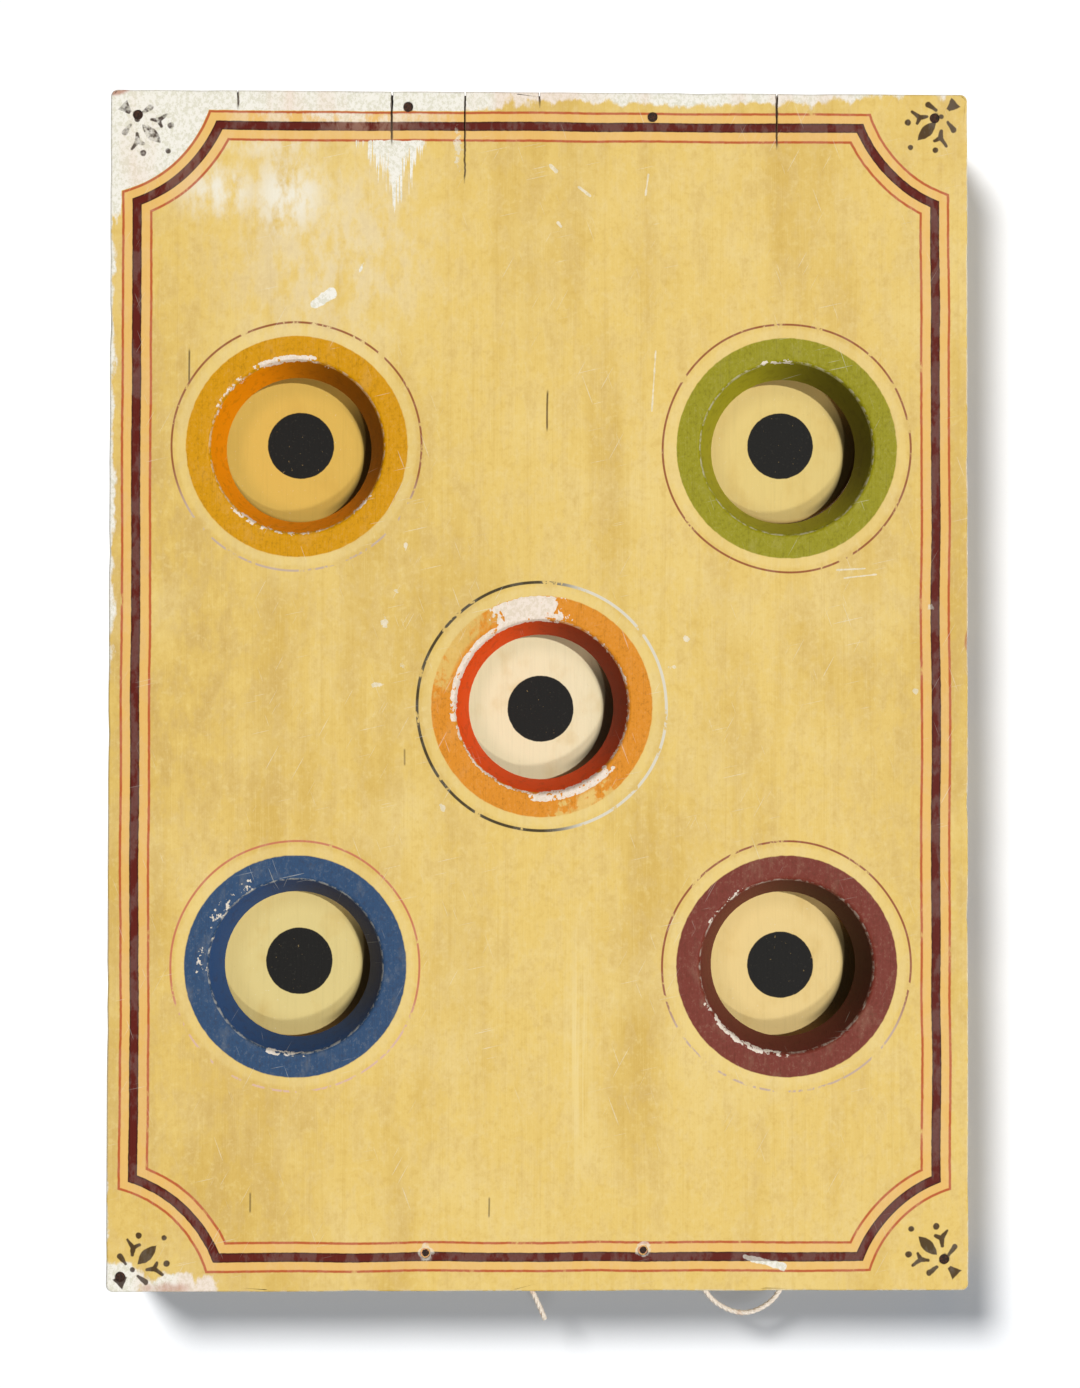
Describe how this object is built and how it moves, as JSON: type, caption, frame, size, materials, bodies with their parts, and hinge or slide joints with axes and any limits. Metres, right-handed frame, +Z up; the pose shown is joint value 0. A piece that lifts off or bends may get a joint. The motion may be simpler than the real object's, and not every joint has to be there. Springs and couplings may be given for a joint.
{
  "type": "skill game board",
  "caption": "Painted wooden wall board with tapered, colour-ringed holes and hinged bullseye targets that swing back behind them when struck.",
  "frame": {"origin": "middle of the back, on the wall face of the middle batten", "axes": "+X right and +Z up as seen from the front, +Y back into the wall"},
  "size_m": [0.456, 0.0851, 0.6575],
  "materials": {
    "painted_panel": "aged cream-yellow oil paint with painted stripes and coloured rings",
    "case_wood": "bare aged softwood",
    "target_paint": "cream oil paint with a black bullseye",
    "iron": "dull wrought iron with light rust",
    "felt": "wool felt",
    "leather": "worn",
    "twine": "twisted twine"
  },
  "bodies": {
    "case": {"panel_board_far_left": "painted_panel", "panel_board_mid_left": "painted_panel", "panel_board_mid_right": "painted_panel", "panel_board_far_right": "painted_panel", "top_rail": "case_wood", "bottom_rail": "case_wood", "left_side": "case_wood", "right_side": "case_wood", "back_batten_upper": "case_wood", "felt_strip_upper": "felt", "back_batten_middle": "case_wood", "felt_strip_middle": "felt", "back_batten_lower": "case_wood", "felt_strip_lower": "felt", "pivot_bracket_upper_left": "iron", "pivot_pin_upper_left": "iron", "stop_block_upper_left": "case_wood", "pivot_bracket_upper_right": "iron", "pivot_pin_upper_right": "iron", "stop_block_upper_right": "case_wood", "pivot_bracket_centre": "iron", "pivot_pin_centre": "iron", "stop_block_centre": "case_wood", "pivot_bracket_lower_left": "iron", "pivot_pin_lower_left": "iron", "stop_block_lower_left": "case_wood", "pivot_bracket_lower_right": "iron", "pivot_pin_lower_right": "iron", "stop_block_lower_right": "case_wood", "stop_pads": "leather", "bracket_screws": "iron", "panel_nails": "iron", "rail_nails": "iron", "batten_nails": "iron", "hanger_screws": "iron", "hanger_plates": "iron", "twine_loop": "twine", "twine_tail": "twine"},
    "target_upper_left": {"target_disc_upper_left": "target_paint", "target_strap_upper_left": "iron", "target_screws_upper_left": "iron"},
    "target_upper_right": {"target_disc_upper_right": "target_paint", "target_strap_upper_right": "iron", "target_screws_upper_right": "iron"},
    "target_centre": {"target_disc_centre": "target_paint", "target_strap_centre": "iron", "target_screws_centre": "iron"},
    "target_lower_left": {"target_disc_lower_left": "target_paint", "target_strap_lower_left": "iron", "target_screws_lower_left": "iron"},
    "target_lower_right": {"target_disc_lower_right": "target_paint", "target_strap_lower_right": "iron", "target_screws_lower_right": "iron"}
  },
  "joints": [
    {"name": "target_swing_upper_left", "type": "hinge", "parent": "case", "child": "target_upper_left", "pos_m": [-0.1287, -0.05613, 0.21035], "axis": [1, 0, 0], "range_deg": [0, 12]},
    {"name": "target_swing_upper_right", "type": "hinge", "parent": "case", "child": "target_upper_right", "pos_m": [0.1313, -0.05613, 0.21112], "axis": [1, 0, 0], "range_deg": [0, 12]},
    {"name": "target_swing_centre", "type": "hinge", "parent": "case", "child": "target_centre", "pos_m": [0.0013, -0.05613, 0.06823], "axis": [1, 0, 0], "range_deg": [0, 12]},
    {"name": "target_swing_lower_left", "type": "hinge", "parent": "case", "child": "target_lower_left", "pos_m": [-0.1287, -0.05613, -0.06811], "axis": [1, 0, 0], "range_deg": [0, 12]},
    {"name": "target_swing_lower_right", "type": "hinge", "parent": "case", "child": "target_lower_right", "pos_m": [0.1313, -0.05613, -0.07023], "axis": [1, 0, 0], "range_deg": [0, 12]}
  ]
}
